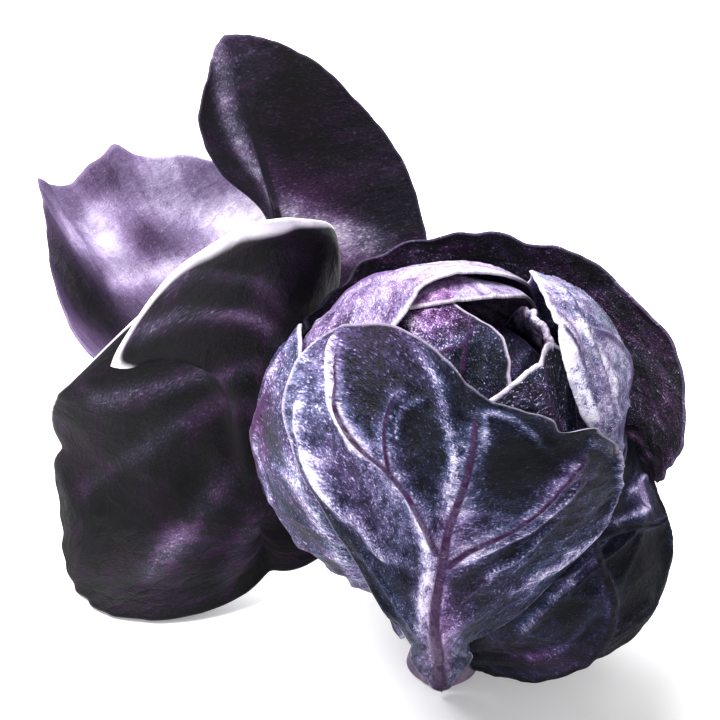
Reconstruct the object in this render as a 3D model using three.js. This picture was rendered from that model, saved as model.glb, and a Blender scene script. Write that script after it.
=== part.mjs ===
import * as THREE from 'three'

// A purple brussels sprout as picked: a tight head of wrapped leaves, with the outermost
// leaves opened away from it. Millimetres, +Z up. It rests at z = 0 on the cut end of its stem
// and on its lowest leaves. Unless a name says otherwise, lengths in the leaf list are in head
// radii and angles are in degrees, and an azimuth of 0 is +X and 90 is +Y.

const headRadius = 18
const leafThickness = 0.5
const marginThinning = 0.35
const marginFalloff = 3
const bigGrid = [14, 12]
const smallGrid = [9, 9]

// The head is a leaning egg, narrow at the foot. A layer of 1 is its outer surface.
const egg = {
  centre: new THREE.Vector3(-0.03, 0, 1.42),
  size: 0.94,
  up: 1.16,
  down: 1.42,
  taperBelow: [0.15, 0.95],
  footTaper: 0.64,
  shoulder: [-0.6, 0.5],
  lean: 22,
  leanTo: -43
}

const stem = {
  buttRadius: 3.3,
  collarRadius: 3.6,
  collarHeight: 0.6,
  neckRadius: 2.4,
  neckHeight: 4.5,
  tipRadius: 0.6,
  height: 7.6,
  sides: 28
}

const heart = { layer: 0.665, swirls: 3, swirlDepth: 0.02, rings: 14, spokes: 24 }

// ---- curves ----

const radians = THREE.MathUtils.degToRad
const { clamp, smoothstep } = THREE.MathUtils

function spline(p0, p1, p2, p3, f) {
  const a = 2 * p1 + (p2 - p0) * f
  const b = (2 * p0 - 5 * p1 + 4 * p2 - p3) * f * f
  const c = (3 * p1 - p0 - 3 * p2 + p3) * f * f * f
  return 0.5 * (a + b + c)
}

// A smooth value along t = 0..1 through evenly spaced stations.
function along(values, t) {
  const last = values.length - 1
  const x = clamp(t, 0, 1) * last
  const i = Math.min(Math.floor(x), last - 1)
  const before = values[Math.max(i - 1, 0)]
  const after = values[Math.min(i + 2, last)]
  return spline(before, values[i], values[i + 1], after, x - i)
}

// The same round a closed margin, where values[0] is at the leaf's tip.
function around(values, angle) {
  const count = values.length
  const x = (((angle / (2 * Math.PI)) % 1) + 1) % 1 * count
  const i = Math.floor(x)
  const at = k => values[(k + count) % count]
  return spline(at(i - 1), at(i), at(i + 1), at(i + 2), x - i)
}

// ---- the egg that the wrapped leaves follow ----

const leanAxis = new THREE.Vector3(0, 1, 0).applyAxisAngle(new THREE.Vector3(0, 0, 1), radians(egg.leanTo))

function eggPoint(direction, layer) {
  const z = direction.z
  const narrow = 1 - egg.footTaper * smoothstep(-z, ...egg.taperBelow)
  const tall = egg.down + (egg.up - egg.down) * smoothstep(z, ...egg.shoulder)
  const point = new THREE.Vector3(direction.x * narrow, direction.y * narrow, z * tall)
  const lean = radians(egg.lean) * ((1 + z) / 2) ** 2
  return point.multiplyScalar(layer * egg.size).applyAxisAngle(leanAxis, lean).add(egg.centre)
}

// ---- leaf surfaces ----

// A wrapped leaf: its midrib climbs the egg from the polar angle `foot` to `top`, at the
// azimuth `turn`, and its blade follows the egg for `side` degrees to each hand.
function wrappedPoint(leaf, u, y, lift) {
  const climb = radians(leaf.top - leaf.foot)
  const swing = radians(leaf.skew)
  const polar = radians(leaf.foot) + climb * u
  const azimuth = radians(leaf.turn) + swing * (u - 0.5)
  const [sp, cp, sa, ca] = [Math.sin(polar), Math.cos(polar), Math.sin(azimuth), Math.cos(azimuth)]
  const rib = new THREE.Vector3(sp * ca, sp * sa, cp)
  const up = new THREE.Vector3(cp * ca, cp * sa, -sp).multiplyScalar(climb)
  up.add(new THREE.Vector3(-sa, ca, 0).multiplyScalar(swing * sp))
  const across = up.cross(rib).normalize()
  const arc = radians(y * along(leaf.side[y < 0 ? 0 : 1], u))
  const direction = rib.multiplyScalar(Math.cos(arc)).addScaledVector(across, Math.sin(arc))
  return eggPoint(direction, leaf.layer + lift + along(leaf.rise, u))
}

// An opened leaf: its midrib is a line from `base` whose pitch and yaw change on the way, and
// its blade bends round it with the curvature `cup` on each hand.
const midribSteps = 40
const flattestCup = 0.001

// The direction of the midrib at t, and the two that stand square to it.
function midribFrame(leaf, t) {
  const pitch = radians(along(leaf.pitch, t))
  const yaw = radians(along(leaf.yaw, t))
  const level = new THREE.Vector3(Math.cos(yaw), Math.sin(yaw), 0)
  const up = new THREE.Vector3(0, 0, 1)
  const heading = level.clone().multiplyScalar(Math.cos(pitch)).addScaledVector(up, Math.sin(pitch))
  const raised = up.multiplyScalar(Math.cos(pitch)).addScaledVector(level, -Math.sin(pitch))
  return { heading, raised, flat: raised.clone().cross(heading) }
}

function openPoint(leaf, u, y, lift) {
  const point = new THREE.Vector3(...leaf.base)
  for (let i = 0; i < midribSteps; i++) {
    const { heading } = midribFrame(leaf, u * (i + 0.5) / midribSteps)
    point.addScaledVector(heading, u * leaf.length / midribSteps)
  }
  const { raised, flat } = midribFrame(leaf, u)
  const twist = radians(along(leaf.twist, u))
  const across = flat.clone().multiplyScalar(Math.cos(twist)).addScaledVector(raised, Math.sin(twist))
  const inward = raised.clone().multiplyScalar(Math.cos(twist)).addScaledVector(flat, -Math.sin(twist))
  const hand = y < 0 ? 0 : 1
  const reach = y * along(leaf.side[hand], u)
  const cup = Math.max(along(leaf.cup[hand], u), flattestCup)
  const bend = cup * reach
  point.addScaledVector(across, Math.sin(bend) / cup)
  point.addScaledVector(inward, (1 - Math.cos(bend)) / cup)
  const normal = inward.multiplyScalar(Math.cos(bend)).addScaledVector(across, -Math.sin(bend))
  return point.addScaledVector(normal, lift)
}

// A point of the leaf's middle surface, from x = -1 (foot) to 1 (tip) and y = -1 to 1, inside
// the unit circle. `reach` moves the margin in or out in eight directions, from the tip round.
function leafPoint(leaf, x, y) {
  const angle = Math.atan2(y, x)
  const stretch = 1 + (around(leaf.reach, angle) - 1) * (x * x + y * y)
  const [px, py] = [x * stretch, y * stretch]
  const { height, x: bx, y: by, width } = leaf.bump
  const lift = height * Math.exp(-((px - bx) ** 2 + (py - by) ** 2) / width ** 2)
  const place = leaf.wrapped ? wrappedPoint : openPoint
  return place(leaf, (px + 1) / 2, py, lift).multiplyScalar(headRadius)
}

const normalStep = 0.001

function leafNormal(leaf, x, y) {
  const step = normalStep
  const alongLeaf = leafPoint(leaf, x + step, y).sub(leafPoint(leaf, x - step, y))
  const acrossLeaf = leafPoint(leaf, x, y + step).sub(leafPoint(leaf, x, y - step))
  return alongLeaf.cross(acrossLeaf).normalize()
}

// ---- closed solids ----

function closedGeometry(points, triangles) {
  const geometry = new THREE.BufferGeometry().setFromPoints(points)
  geometry.setIndex(triangles)
  geometry.computeVertexNormals()
  return geometry
}

// The blade has two faces, leafThickness apart and closer at the margin, and a rim.
function leafGeometry(leaf) {
  const [rows, columns] = leaf.grid
  const front = []
  const back = []
  for (let i = 0; i < rows; i++) {
    for (let j = 0; j < columns; j++) {
      const a = 2 * i / (rows - 1) - 1
      const b = 2 * j / (columns - 1) - 1
      const x = a * Math.sqrt(1 - b * b / 2)
      const y = b * Math.sqrt(1 - a * a / 2)
      const half = leafThickness / 2 * (1 - marginThinning * (x * x + y * y) ** marginFalloff)
      const middle = leafPoint(leaf, x, y)
      const normal = leafNormal(leaf, x, y)
      front.push(middle.clone().addScaledVector(normal, half))
      back.push(middle.clone().addScaledVector(normal, -half))
    }
  }
  const count = rows * columns
  const at = (i, j) => i * columns + j
  const triangles = []
  for (let i = 0; i < rows - 1; i++) {
    for (let j = 0; j < columns - 1; j++) {
      const [a, b, c, d] = [at(i, j), at(i + 1, j), at(i + 1, j + 1), at(i, j + 1)]
      const outward = (i < (rows - 1) / 2) === (j < (columns - 1) / 2)
      const halves = outward ? [[a, b, c], [a, c, d]] : [[a, b, d], [b, c, d]]
      for (const [p, q, r] of halves) triangles.push(p, q, r, count + p, count + r, count + q)
    }
  }
  const rim = []
  for (let i = 0; i < rows; i++) rim.push(at(i, 0))
  for (let j = 1; j < columns; j++) rim.push(at(rows - 1, j))
  for (let i = rows - 2; i >= 0; i--) rim.push(at(i, columns - 1))
  for (let j = columns - 2; j > 0; j--) rim.push(at(0, j))
  rim.forEach((a, k) => {
    const b = rim[(k + 1) % rim.length]
    triangles.push(b, a, count + a, b, count + a, count + b)
  })
  return closedGeometry([...front, ...back], triangles)
}

// The bud in the middle: the egg at a small layer, with the shallow swirl of folded leaves.
function heartGeometry() {
  const points = [eggPoint(new THREE.Vector3(0, 0, 1), heart.layer)]
  for (let i = 1; i < heart.rings; i++) {
    for (let j = 0; j < heart.spokes; j++) {
      const polar = Math.PI * i / heart.rings
      const azimuth = 2 * Math.PI * j / heart.spokes
      const swirl = heart.swirlDepth * Math.sin(heart.swirls * azimuth + 2 * polar) * Math.sin(polar)
      const ring = Math.sin(polar)
      const [level, sideways] = [ring * Math.cos(azimuth), ring * Math.sin(azimuth)]
      const direction = new THREE.Vector3(level, sideways, Math.cos(polar))
      points.push(eggPoint(direction, heart.layer + swirl))
    }
  }
  points.push(eggPoint(new THREE.Vector3(0, 0, -1), heart.layer))
  points.forEach(point => point.multiplyScalar(headRadius))
  const at = (i, j) => 1 + (i - 1) * heart.spokes + j % heart.spokes
  const last = points.length - 1
  const triangles = []
  for (let j = 0; j < heart.spokes; j++) {
    triangles.push(0, at(1, j), at(1, j + 1))
    triangles.push(last, at(heart.rings - 1, j + 1), at(heart.rings - 1, j))
    for (let i = 1; i < heart.rings - 1; i++) {
      triangles.push(at(i, j), at(i + 1, j), at(i + 1, j + 1))
      triangles.push(at(i, j), at(i + 1, j + 1), at(i, j + 1))
    }
  }
  return closedGeometry(points, triangles)
}

function stemGeometry() {
  const profile = [
    new THREE.Vector2(0, 0),
    new THREE.Vector2(stem.buttRadius, 0),
    new THREE.Vector2(stem.collarRadius, stem.collarHeight),
    new THREE.Vector2(stem.neckRadius, stem.neckHeight),
    new THREE.Vector2(stem.tipRadius, stem.height),
    new THREE.Vector2(0, stem.height)
  ]
  return new THREE.LatheGeometry(profile, stem.sides).rotateX(Math.PI / 2)
}

// ---- the leaves, from the outside in ----

const leaves = [
  {
    name: 'outer_leaf_top', colour: 0x4b4360, grid: bigGrid,
    base: [0, 0.38, 0.08], length: 3.66,
    pitch: [3, 30, 58, 57], yaw: [100, 125, 124, 124], twist: [0, 1, 3, 4],
    side: [[0.3, 0.43, 0.9, 1.07], [0.3, 0.49, 0.79, 0.46]],
    cup: [[0.7, 0.8, 0.88, 0.95], [0.7, 0.8, 0.9, 0.89]],
    reach: [1.05, 1, 1.01, 0.96, 0.95, 1, 1, 0.97],
    bump: { height: 0, x: 0, y: 0, width: 1 }
  },
  {
    name: 'outer_leaf_far_left', colour: 0x7a6590, grid: bigGrid,
    base: [-0.1, 0.31, 0.03], length: 3.57,
    pitch: [3, 19, 32, 36], yaw: [109, 133, 151, 138], twist: [0, 0, 0, 0],
    side: [[0.3, 0.5, 1.14, 1.46], [0.3, 0.1, 1.09, 0.38]],
    cup: [[0.4, 0.37, 0.39, 0.42], [0.3, 0.25, 0.8, 0.08]],
    reach: [1.06, 0.94, 1, 0.96, 0.88, 0.93, 1, 1.05],
    bump: { height: 0, x: 0, y: 0, width: 1 }
  },
  {
    name: 'outer_leaf_front_left', colour: 0x5c5575, grid: bigGrid,
    base: [-0.14, 0.28, 0.12], length: 2.58,
    pitch: [8, 17, 17, 11], yaw: [80, 188, 160, 153], twist: [0, -52, -60, -92],
    side: [[0.25, 0.95, 2.07, 0.6], [0.25, 0.1, 0.91, 1.36]],
    cup: [[0.4, 0.2, 0.53, 0.13], [0.4, 0.1, 0.63, 0.7]],
    reach: [1.03, 0.93, 0.97, 1.16, 1, 1.02, 0.98, 1.1],
    bump: { height: 0, x: 0, y: 0, width: 1 }
  },
  {
    name: 'outer_leaf_back', colour: 0x3f3a4f, grid: bigGrid,
    wrapped: true, turn: 63, skew: 2, foot: 150, top: 63, layer: 1.2,
    side: [[50, 44, 68, 79], [50, 55, 75, 88]], rise: [0.02, 0, 0.01, 0.24],
    reach: [0.86, 0.96, 1, 1, 1, 1, 1, 1],
    bump: { height: 0, x: 0, y: 0, width: 1 }
  },
  {
    name: 'wrapper_leaf_right', colour: 0x38223f, grid: bigGrid,
    wrapped: true, turn: -37, skew: -14, foot: 147, top: 70, layer: 0.98,
    side: [[50, 60, 60, 45], [50, 40, 61, 27]], rise: [0.04, -0.04, -0.04, 0.02],
    reach: [1, 1, 0.8, 0.96, 1, 1, 1, 1],
    bump: { height: 0.58, x: -0.27, y: 0.26, width: 0.6 }
  },
  {
    name: 'wrapper_leaf_front', colour: 0x3c4258, grid: bigGrid,
    wrapped: true, turn: -90, skew: -14, foot: 150, top: 18, layer: 1.07,
    side: [[40, 14, 25, 43, 52], [40, 12, 62, 71, 106]], rise: [0.1, 0, 0, 0],
    reach: [0.83, 0.98, 0.93, 0.98, 1, 0.98, 1.03, 1.42],
    bump: { height: 0, x: 0, y: 0, width: 1 }
  },
  {
    name: 'wrapper_leaf_left', colour: 0x6b6a88, grid: bigGrid,
    wrapped: true, turn: 186, skew: 0, foot: 152, top: 58, layer: 1,
    side: [[8, 8, 8, 8, 45, 60], [50, 60, 72, 78, 74, 70]], rise: [0, -0.11, -0.12, -0.06, 0.01, 0.02],
    reach: [1, 1, 1, 1, 1, 1, 1, 1],
    bump: { height: 0.02, x: 0, y: -0.3, width: 0.5 }
  },
  {
    name: 'wrapper_leaf_back_right', colour: 0x77789a, grid: bigGrid,
    wrapped: true, turn: 17, skew: -10, foot: 145, top: 17, layer: 1,
    side: [[30, 45, 36, 43], [30, 50, 46, 41]], rise: [-0.05, -0.07, -0.01, 0.02],
    reach: [1, 1.23, 1, 1, 1, 1, 1, 1.05],
    bump: { height: 0.1, x: 0.37, y: 0.26, width: 0.5 }
  },
  {
    name: 'wrapper_leaf_back', colour: 0x9a86ab, grid: bigGrid,
    wrapped: true, turn: 137, skew: 0, foot: 150, top: 25, layer: 0.95,
    side: [[50, 50, 60, 60], [30, 30, 24, 40, 50]], rise: [0.02, 0, 0, 0.02],
    reach: [0.95, 1.35, 1, 1, 1, 1, 1, 1.3],
    bump: { height: 0, x: 0, y: 0, width: 1 }
  },
  {
    name: 'crown_leaf_right', colour: 0x574a63, grid: smallGrid,
    wrapped: true, turn: -41, skew: 2, foot: 140, top: 10, layer: 0.89,
    side: [[40, 35, 50, 50], [40, 37, 9, 31]], rise: [0, 0, 0, 0],
    reach: [0.88, 1.09, 1, 1, 1, 1, 1, 1],
    bump: { height: 0, x: 0, y: 0, width: 1 }
  },
  {
    name: 'crown_leaf_left', colour: 0x6d4173, grid: smallGrid,
    wrapped: true, turn: -147, skew: 0, foot: 140, top: -1, layer: 0.85,
    side: [[40, 40, 67, 65], [40, 40, 63, 51]], rise: [-0.08, -0.08, -0.03, 0, 0, 0, 0, 0],
    reach: [1.01, 0.98, 1.01, 1, 1, 1, 1, 0.99],
    bump: { height: 0, x: 0, y: 0, width: 1 }
  },
  {
    name: 'crown_leaf_back', colour: 0x9d7fa8, grid: smallGrid,
    wrapped: true, turn: 110, skew: 0, foot: 130, top: 28, layer: 0.81,
    side: [[40, 50, 60, 40], [40, 50, 60, 40]], rise: [0, 0, 0, 0],
    reach: [1.1, 1.2, 1, 1, 1, 1, 1, 1.15],
    bump: { height: 0, x: 0, y: 0, width: 1 }
  },
  {
    name: 'crown_leaf_curl', colour: 0xa692b3, grid: smallGrid,
    wrapped: true, turn: 31, skew: 13, foot: 75, top: 25, layer: 0.75,
    side: [[20, 20, 22, 21], [20, 20, 27, 19]], rise: [0, 0, 0, 0.11],
    reach: [1.02, 0.99, 1.01, 0.98, 1, 1, 1, 1],
    bump: { height: 0, x: 0, y: 0, width: 1 }
  },
  {
    name: 'crown_leaf_inner', colour: 0x2b2733, grid: smallGrid,
    wrapped: true, turn: -70, skew: 0, foot: 120, top: -12, layer: 0.72,
    side: [[40, 40, 50, 50], [40, 40, 50, 50]], rise: [0, 0, 0, 0],
    reach: [1, 1, 1, 1, 1, 1, 1, 1],
    bump: { height: 0, x: 0, y: 0, width: 1 }
  }
]

// ---- the assembly ----

function piece(name, geometry, colour, roughness) {
  const material = new THREE.MeshStandardMaterial({ color: colour, roughness, metalness: 0 })
  const mesh = new THREE.Mesh(geometry, material)
  mesh.name = name
  return mesh
}

const sprout = new THREE.Group()
sprout.add(piece('stem', stemGeometry(), 0x8d7a86, 0.7))
sprout.add(piece('heart', heartGeometry(), 0x2a2433, 0.6))
for (const leaf of leaves) sprout.add(piece(leaf.name, leafGeometry(leaf), leaf.colour, 0.5))

export default sprout
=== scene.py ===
import bpy
import math
import numpy as np
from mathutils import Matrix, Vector


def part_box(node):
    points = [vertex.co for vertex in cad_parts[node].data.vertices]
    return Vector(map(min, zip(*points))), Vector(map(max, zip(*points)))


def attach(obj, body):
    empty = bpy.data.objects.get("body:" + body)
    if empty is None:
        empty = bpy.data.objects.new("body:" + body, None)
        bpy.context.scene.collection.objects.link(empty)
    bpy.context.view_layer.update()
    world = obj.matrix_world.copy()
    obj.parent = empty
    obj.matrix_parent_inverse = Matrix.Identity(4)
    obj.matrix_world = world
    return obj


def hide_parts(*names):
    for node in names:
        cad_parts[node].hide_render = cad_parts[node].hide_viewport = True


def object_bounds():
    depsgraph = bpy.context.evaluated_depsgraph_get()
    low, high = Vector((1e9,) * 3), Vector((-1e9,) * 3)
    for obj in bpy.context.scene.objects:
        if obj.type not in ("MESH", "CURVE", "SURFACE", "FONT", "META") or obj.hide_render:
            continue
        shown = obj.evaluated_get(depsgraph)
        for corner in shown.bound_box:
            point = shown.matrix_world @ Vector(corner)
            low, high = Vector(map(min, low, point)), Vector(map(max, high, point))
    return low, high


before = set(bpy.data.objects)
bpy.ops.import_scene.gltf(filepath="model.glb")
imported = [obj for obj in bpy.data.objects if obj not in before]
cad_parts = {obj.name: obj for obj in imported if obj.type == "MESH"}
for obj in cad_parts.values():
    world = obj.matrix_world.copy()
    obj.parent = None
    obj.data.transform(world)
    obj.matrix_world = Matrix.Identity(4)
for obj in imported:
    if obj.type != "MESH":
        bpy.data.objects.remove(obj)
cadLow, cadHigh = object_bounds()

# The stem gives the scale of all the rest: its collar is a fifth of the head's radius, which is
# 18 mm. Leaves are shaped in head radii, and their details in millimetres.
collarShare = 0.2
headMillimetres = 18
stemLow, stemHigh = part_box("stem")
headRadius = (stemHigh.x - stemLow.x) / 2 / collarShare
mm = headRadius / headMillimetres
print(len(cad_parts), "solids, head radius", round(headRadius * 1000, 2), "mm")


# A socket that arithmetic can be written with.
class Wire:
    def __init__(self, graph, socket):
        self.graph = graph
        self.socket = socket

    def maths(self, operation, *values, clamp=False):
        settings = {"operation": operation, "use_clamp": clamp}
        return self.graph.node("ShaderNodeMath", settings, dict(enumerate(values)))

    def __add__(self, other):
        return self.maths("ADD", self, other)

    def __sub__(self, other):
        return self.maths("SUBTRACT", self, other)

    def __rsub__(self, other):
        return self.maths("SUBTRACT", other, self)

    def __mul__(self, other):
        return self.maths("MULTIPLY", self, other)

    def __rtruediv__(self, other):
        return self.maths("DIVIDE", other, self)

    __radd__ = __add__
    __rmul__ = __mul__

    def clamped(self):
        return self.maths("ADD", self, 0.0, clamp=True)

    def smooth(self, low, high):
        settings = {"interpolation_type": "SMOOTHSTEP"}
        return self.graph.node("ShaderNodeMapRange", settings, {"Value": self, 1: low, 2: high})


# A node tree that grows from its inputs to its output.
class Graph:
    def __init__(self, tree):
        self.tree = tree
        tree.nodes.clear()

    # Settings come first, because some of them change which sockets a node has.
    def node(self, kind, settings, inputs, out=0):
        made = self.tree.nodes.new(kind)
        for key, value in dict(settings).items():
            setattr(made, key, value)
        for key, value in dict(inputs).items():
            socket = made.inputs[key]
            if isinstance(value, Wire):
                self.tree.links.new(value.socket, socket)
            else:
                socket.default_value = value
        return Wire(self, made.outputs[out]) if made.outputs else made

    # A colour ramp through stops that are a position and a colour code.
    def ramp(self, factor, stops):
        made = self.node("ShaderNodeValToRGB", (), {"Fac": factor})
        elements = made.socket.node.color_ramp.elements
        while len(elements) < len(stops):
            elements.new(1.0)
        for element, (position, code) in zip(elements, stops):
            element.position = position
            element.color = tint(code)
        return made

    def mix(self, factor, first, second):
        return self.node("ShaderNodeMix", {"data_type": "RGBA"}, {0: factor, 6: first, 7: second}, 2)

    def attribute(self, name, out="Fac"):
        return self.node("ShaderNodeAttribute", {"attribute_name": name}, (), out)

    def noise(self, vector, scale, detail, roughness, distortion=0.0):
        inputs = {"Vector": vector, "Scale": scale, "Detail": detail}
        inputs |= {"Roughness": roughness, "Distortion": distortion}
        return self.node("ShaderNodeTexNoise", (), inputs)


# A hexadecimal colour code as a linear colour.
def tint(code):
    parts = [int(code[i:i + 2], 16) / 255 for i in (0, 2, 4)]
    linear = [c / 12.92 if c < 0.04045 else ((c + 0.055) / 1.055) ** 2.4 for c in parts]
    return (*linear, 1.0)


def smoothStep(value, low, high):
    t = np.clip((value - low) / (high - low), 0, 1)
    return t * t * (3 - 2 * t)


def spline(p0, p1, p2, p3, f):
    a = 2 * p1 + (p2 - p0) * f
    b = (2 * p0 - 5 * p1 + 4 * p2 - p3) * f * f
    c = (3 * p1 - p0 - 3 * p2 + p3) * f * f * f
    return 0.5 * (a + b + c)


# A smooth value along t = 0..1 through evenly spaced stations.
def along(values, t):
    v = np.asarray(values, float)
    last = len(v) - 1
    x = np.clip(t, 0, 1) * last
    i = np.minimum(x.astype(int), last - 1)
    return spline(v[np.maximum(i - 1, 0)], v[i], v[i + 1], v[np.minimum(i + 2, last)], x - i)


# The same round a closed margin, where the first value is at the leaf's tip.
def around(values, angle):
    v = np.asarray(values, float)
    x = (angle / (2 * math.pi)) % 1.0 * len(v)
    i = x.astype(int) % len(v)
    at = lambda k: v[(i + k) % len(v)]
    return spline(at(-1), at(0), at(1), at(2), x - np.floor(x))


# Uneven waves round a margin, from -1 to 1.
def wobble(angle, waves, seed):
    draw = np.random.default_rng(seed)
    total = 0
    for k, share in ((waves - 2, 0.35), (waves, 0.4), (waves + 3, 0.35), (2 * waves + 1, 0.2)):
        total = total + share * draw.uniform(0.6, 1.2) * np.sin(k * angle + draw.uniform(0, 2 * math.pi))
    return total


# The head is a leaning egg, narrow at the foot, in head radii and degrees. A layer of 1 is its
# outer surface, and every wrapped leaf follows it at a layer of its own.
egg = dict(
    centre=(-0.03, 0, 1.42), size=0.94, up=1.16, down=1.42,
    taperBelow=(0.15, 0.95), footTaper=0.64, shoulder=(-0.6, 0.5), lean=22, leanTo=-43,
)


def eggPoint(direction, layer):
    z = direction[..., 2]
    narrow = 1 - egg["footTaper"] * smoothStep(-z, *egg["taperBelow"])
    tall = egg["down"] + (egg["up"] - egg["down"]) * smoothStep(z, *egg["shoulder"])
    point = np.stack([direction[..., 0] * narrow, direction[..., 1] * narrow, z * tall], -1)
    point = point * (layer * egg["size"])[..., None]
    towards = math.radians(egg["leanTo"])
    axis = np.array([-math.sin(towards), math.cos(towards), 0])
    lean = math.radians(egg["lean"]) * ((1 + z) / 2) ** 2
    c, s = np.cos(lean)[..., None], np.sin(lean)[..., None]
    turned = point * c + np.cross(axis, point) * s + axis * (point @ axis)[..., None] * (1 - c)
    return turned + egg["centre"]


tiny = 1e-12


def unit(vectors):
    return vectors / (np.linalg.norm(vectors, axis=-1, keepdims=True) + tiny)


# What a pair of lists says at u along the leaf, on the hand where y is.
def onHand(pair, u, y):
    return np.where(y < 0, along(pair[0], u), along(pair[1], u))


# A wrapped leaf's midrib climbs the egg from the polar angle `foot` to `top`, at the azimuth
# `turn`, and its blade follows the egg for `side` degrees to each hand.
def wrappedPoint(leaf, u, y, lift):
    climb = math.radians(leaf["top"] - leaf["foot"])
    swing = math.radians(leaf["skew"])
    polar = math.radians(leaf["foot"]) + climb * u
    azimuth = math.radians(leaf["turn"]) + swing * (u - 0.5)
    sp, cp, sa, ca = np.sin(polar), np.cos(polar), np.sin(azimuth), np.cos(azimuth)
    rib = np.stack([sp * ca, sp * sa, cp], -1)
    up = np.stack([cp * ca, cp * sa, -sp], -1) * climb
    up = up + np.stack([-sa, ca, 0 * sa], -1) * (swing * sp)[..., None]
    across = unit(np.cross(up, rib))
    arc = np.radians(y * onHand(leaf["side"], u, y))[..., None]
    direction = rib * np.cos(arc) + across * np.sin(arc)
    return eggPoint(direction, leaf["layer"] + lift + along(leaf["rise"], u))


midribSteps = 200
flattestCup = 0.001


def heading(pitch, yaw):
    return np.stack([np.cos(pitch) * np.cos(yaw), np.cos(pitch) * np.sin(yaw), np.sin(pitch)], -1)


# An opened leaf's midrib is a line from `base`, whose pitch and yaw change on its way, and its
# blade bends round it with the curvature `cup` on each hand.
def openPoint(leaf, u, y, lift):
    middles = (np.arange(midribSteps) + 0.5) / midribSteps
    course = heading(np.radians(along(leaf["pitch"], middles)), np.radians(along(leaf["yaw"], middles)))
    walked = np.vstack([[0, 0, 0], np.cumsum(course, 0)]) * leaf["length"] / midribSteps
    stops = np.linspace(0, 1, midribSteps + 1)
    point = np.stack([np.interp(u, stops, walked[:, k] + leaf["base"][k]) for k in range(3)], -1)
    point = point + (np.maximum(u - 1, 0) * leaf["length"])[..., None] * course[-1]
    point = point + (np.minimum(u, 0) * leaf["length"])[..., None] * course[0]
    pitch, yaw, twist = (np.radians(along(leaf[key], u)) for key in ("pitch", "yaw", "twist"))
    flat = np.stack([-np.sin(yaw), np.cos(yaw), 0 * yaw], -1)
    raised = np.cross(heading(pitch, yaw), flat)
    c, s = np.cos(twist)[..., None], np.sin(twist)[..., None]
    side = flat * c + raised * s
    inward = raised * c - flat * s
    reach = y * onHand(leaf["side"], u, y)
    cup = np.maximum(onHand(leaf["cup"], u, y), flattestCup)[..., None]
    bend = cup * reach[..., None]
    point = point + side * np.sin(bend) / cup + inward * (1 - np.cos(bend)) / cup
    return point + (inward * np.cos(bend) - side * np.sin(bend)) * lift[..., None]


# How many degrees past a place on the margin an angle is, from -180 to 180.
def degreesPast(angle, place):
    return (np.degrees(angle) - place + 180) % 360 - 180


pleatPeak = 0.7


# The blade before its hem: x runs from -1 at the foot to 1 at the tip, y from -1 to 1.
def bladePoint(leaf, x, y):
    r2 = x * x + y * y
    angle = np.arctan2(y, x)
    fold = 0 * x
    for at, overlap, height, width in leaf.get("pleats", ()):
        past = degreesPast(angle, at) / width
        swing = np.exp(-(past + pleatPeak) ** 2) - np.exp(-(past - pleatPeak) ** 2)
        turned = angle + math.radians(overlap) * swing * r2
        x, y = np.sqrt(r2) * np.cos(turned), np.sqrt(r2) * np.sin(turned)
        fold = fold + height * swing * r2
    stretch = 1 + (around(leaf["reach"], angle) - 1) * r2
    for depth, waves, seed in leaf.get("scallops", ()):
        stretch = stretch + depth * wobble(angle, waves, seed) * r2 ** 4
    for at, height, width in leaf.get("lobes", ()):
        stretch = stretch + height * np.exp(-(degreesPast(angle, at) / width) ** 2) * r2 ** 3
    px, py = x * stretch, y * stretch
    lift = fold
    for height, bx, by, width in leaf.get("bumps", ()):
        lift = lift + height * np.exp(-((px - bx) ** 2 + (py - by) ** 2) / width ** 2)
    for height, waves, seed in leaf.get("ruffles", ()):
        lift = lift + height * wobble(angle, waves, seed) * r2 ** 3
    place = wrappedPoint if "layer" in leaf else openPoint
    return place(leaf, (px + 1) / 2, py, lift)


# The normal of bladePoint or sheetPoint.
def bladeNormal(point, leaf, x, y):
    step = 0.002
    alongLeaf = point(leaf, x + step, y) - point(leaf, x - step, y)
    acrossLeaf = point(leaf, x, y + step) - point(leaf, x, y - step)
    return unit(np.cross(alongLeaf, acrossLeaf))


hemStart = 0.88
leastHem = 0.02


# The whole sheet. Past hemStart it rolls outwards by `hem` degrees, given round the margin, so
# that its outermost point stays where the blade's margin was.
def sheetPoint(leaf, x, y):
    if "hem" not in leaf:
        return bladePoint(leaf, x, y)
    r = np.hypot(x, y) + tiny
    cosine, sine = x / r, y / r
    angle = np.arctan2(y, x)
    margin = lambda k: bladePoint(leaf, cosine * k, sine * k)
    step = 0.01
    perUnit = np.linalg.norm(margin(1.0) - margin(1.0 - 2 * step), axis=-1) / (2 * step)
    turn = np.radians(around(leaf["hem"], angle))
    turn = np.where(np.abs(turn) < leastHem, leastHem, turn)
    size = np.abs(turn)
    width = leaf["hemWidth"] * mm / headRadius
    reach = width / size * np.where(size > math.pi / 2, 1.0, np.sin(size))
    flat = 1 - reach / perUnit
    inner = bladePoint(leaf, x * flat / hemStart, y * flat / hemStart)
    edge = margin(flat)
    outward = unit(edge - margin(flat - step))
    normal = bladeNormal(bladePoint, leaf, cosine * flat, sine * flat)
    gone = np.clip((r - hemStart) / (1 - hemStart), 0, 1.05)  # past 1 for the normal there
    bend = (gone * turn)[..., None]
    radius = (width / turn)[..., None]
    rolled = edge + outward * np.sin(bend) * radius - normal * (1 - np.cos(bend)) * radius
    return np.where((r > hemStart)[..., None], rolled, inner)


def toSegment(points, path, index):
    index = np.clip(index, 0, len(path) - 2)
    start, step = path[index], path[index + 1] - path[index]
    gone = points - start
    share = np.clip((gone * step).sum(1) / ((step * step).sum(1) + tiny), 0, 1)
    return np.linalg.norm(gone - step * share[:, None], axis=1)


lineSteps = 70


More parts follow.
